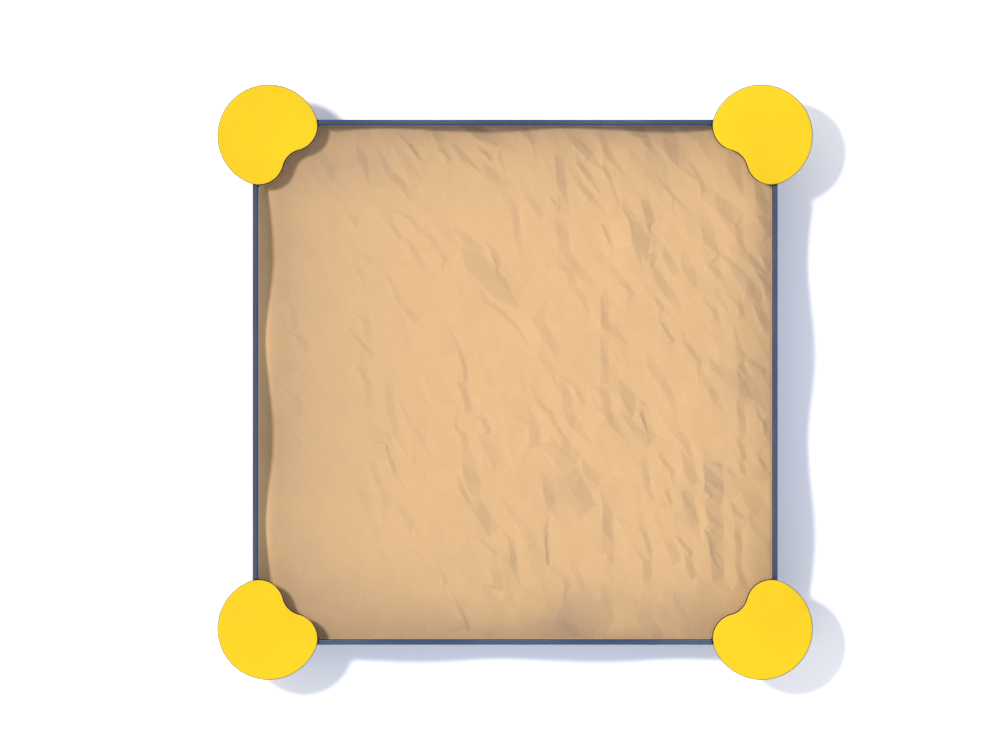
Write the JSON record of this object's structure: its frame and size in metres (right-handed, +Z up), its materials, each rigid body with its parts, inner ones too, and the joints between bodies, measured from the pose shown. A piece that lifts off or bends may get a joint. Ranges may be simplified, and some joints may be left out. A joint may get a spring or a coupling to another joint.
{
  "type": "sandbox with cover",
  "caption": "Square play sandbox of wavy-edged boards with kidney-shaped corner seats, a sand filling and a folding fabric cover.",
  "frame": {"origin": "on the ground, at the centre of the square box", "axes": "+Z up; +X east and +Y north, square to the walls"},
  "size_m": [2.2674, 2.2674, 0.331],
  "materials": {
    "wall_board": "satin",
    "seat_board": "satin",
    "bracket_steel": "satin",
    "bolt_steel": "satin",
    "insert_brass": "satin",
    "ground_cloth": "matte",
    "sand": "matte",
    "cover_fabric": "matte"
  },
  "bodies": {
    "frame": {"panel_south": "wall_board", "panel_east": "wall_board", "panel_north": "wall_board", "panel_west": "wall_board", "seat_southwest": "seat_board", "seat_southeast": "seat_board", "seat_northeast": "seat_board", "seat_northwest": "seat_board", "corner_bracket_southwest": "bracket_steel", "corner_bracket_southeast": "bracket_steel", "corner_bracket_northeast": "bracket_steel", "corner_bracket_northwest": "bracket_steel", "middle_bracket_south": "bracket_steel", "middle_bracket_east": "bracket_steel", "middle_bracket_north": "bracket_steel", "middle_bracket_west": "bracket_steel", "ground_cloth": "ground_cloth", "sand_bed": "sand", "corner_bolts": "bolt_steel", "middle_bolts": "bolt_steel", "washers": "bolt_steel", "lock_nuts": "bolt_steel", "seat_screws": "bolt_steel", "seat_inserts": "insert_brass"},
    "cover_west": {"cover_west_half": "cover_fabric"},
    "cover_east": {"cover_east_half": "cover_fabric"}
  },
  "joints": [
    {"name": "cover_lift", "type": "slide", "parent": "frame", "child": "cover_west", "axis": [0, 0, 1], "range_m": [0, 0.35]},
    {"name": "cover_fold", "type": "hinge", "parent": "cover_west", "child": "cover_east", "pos_m": [0, 0, 0.1993], "axis": [0, -1, 0], "range_deg": [0, 175]}
  ]
}
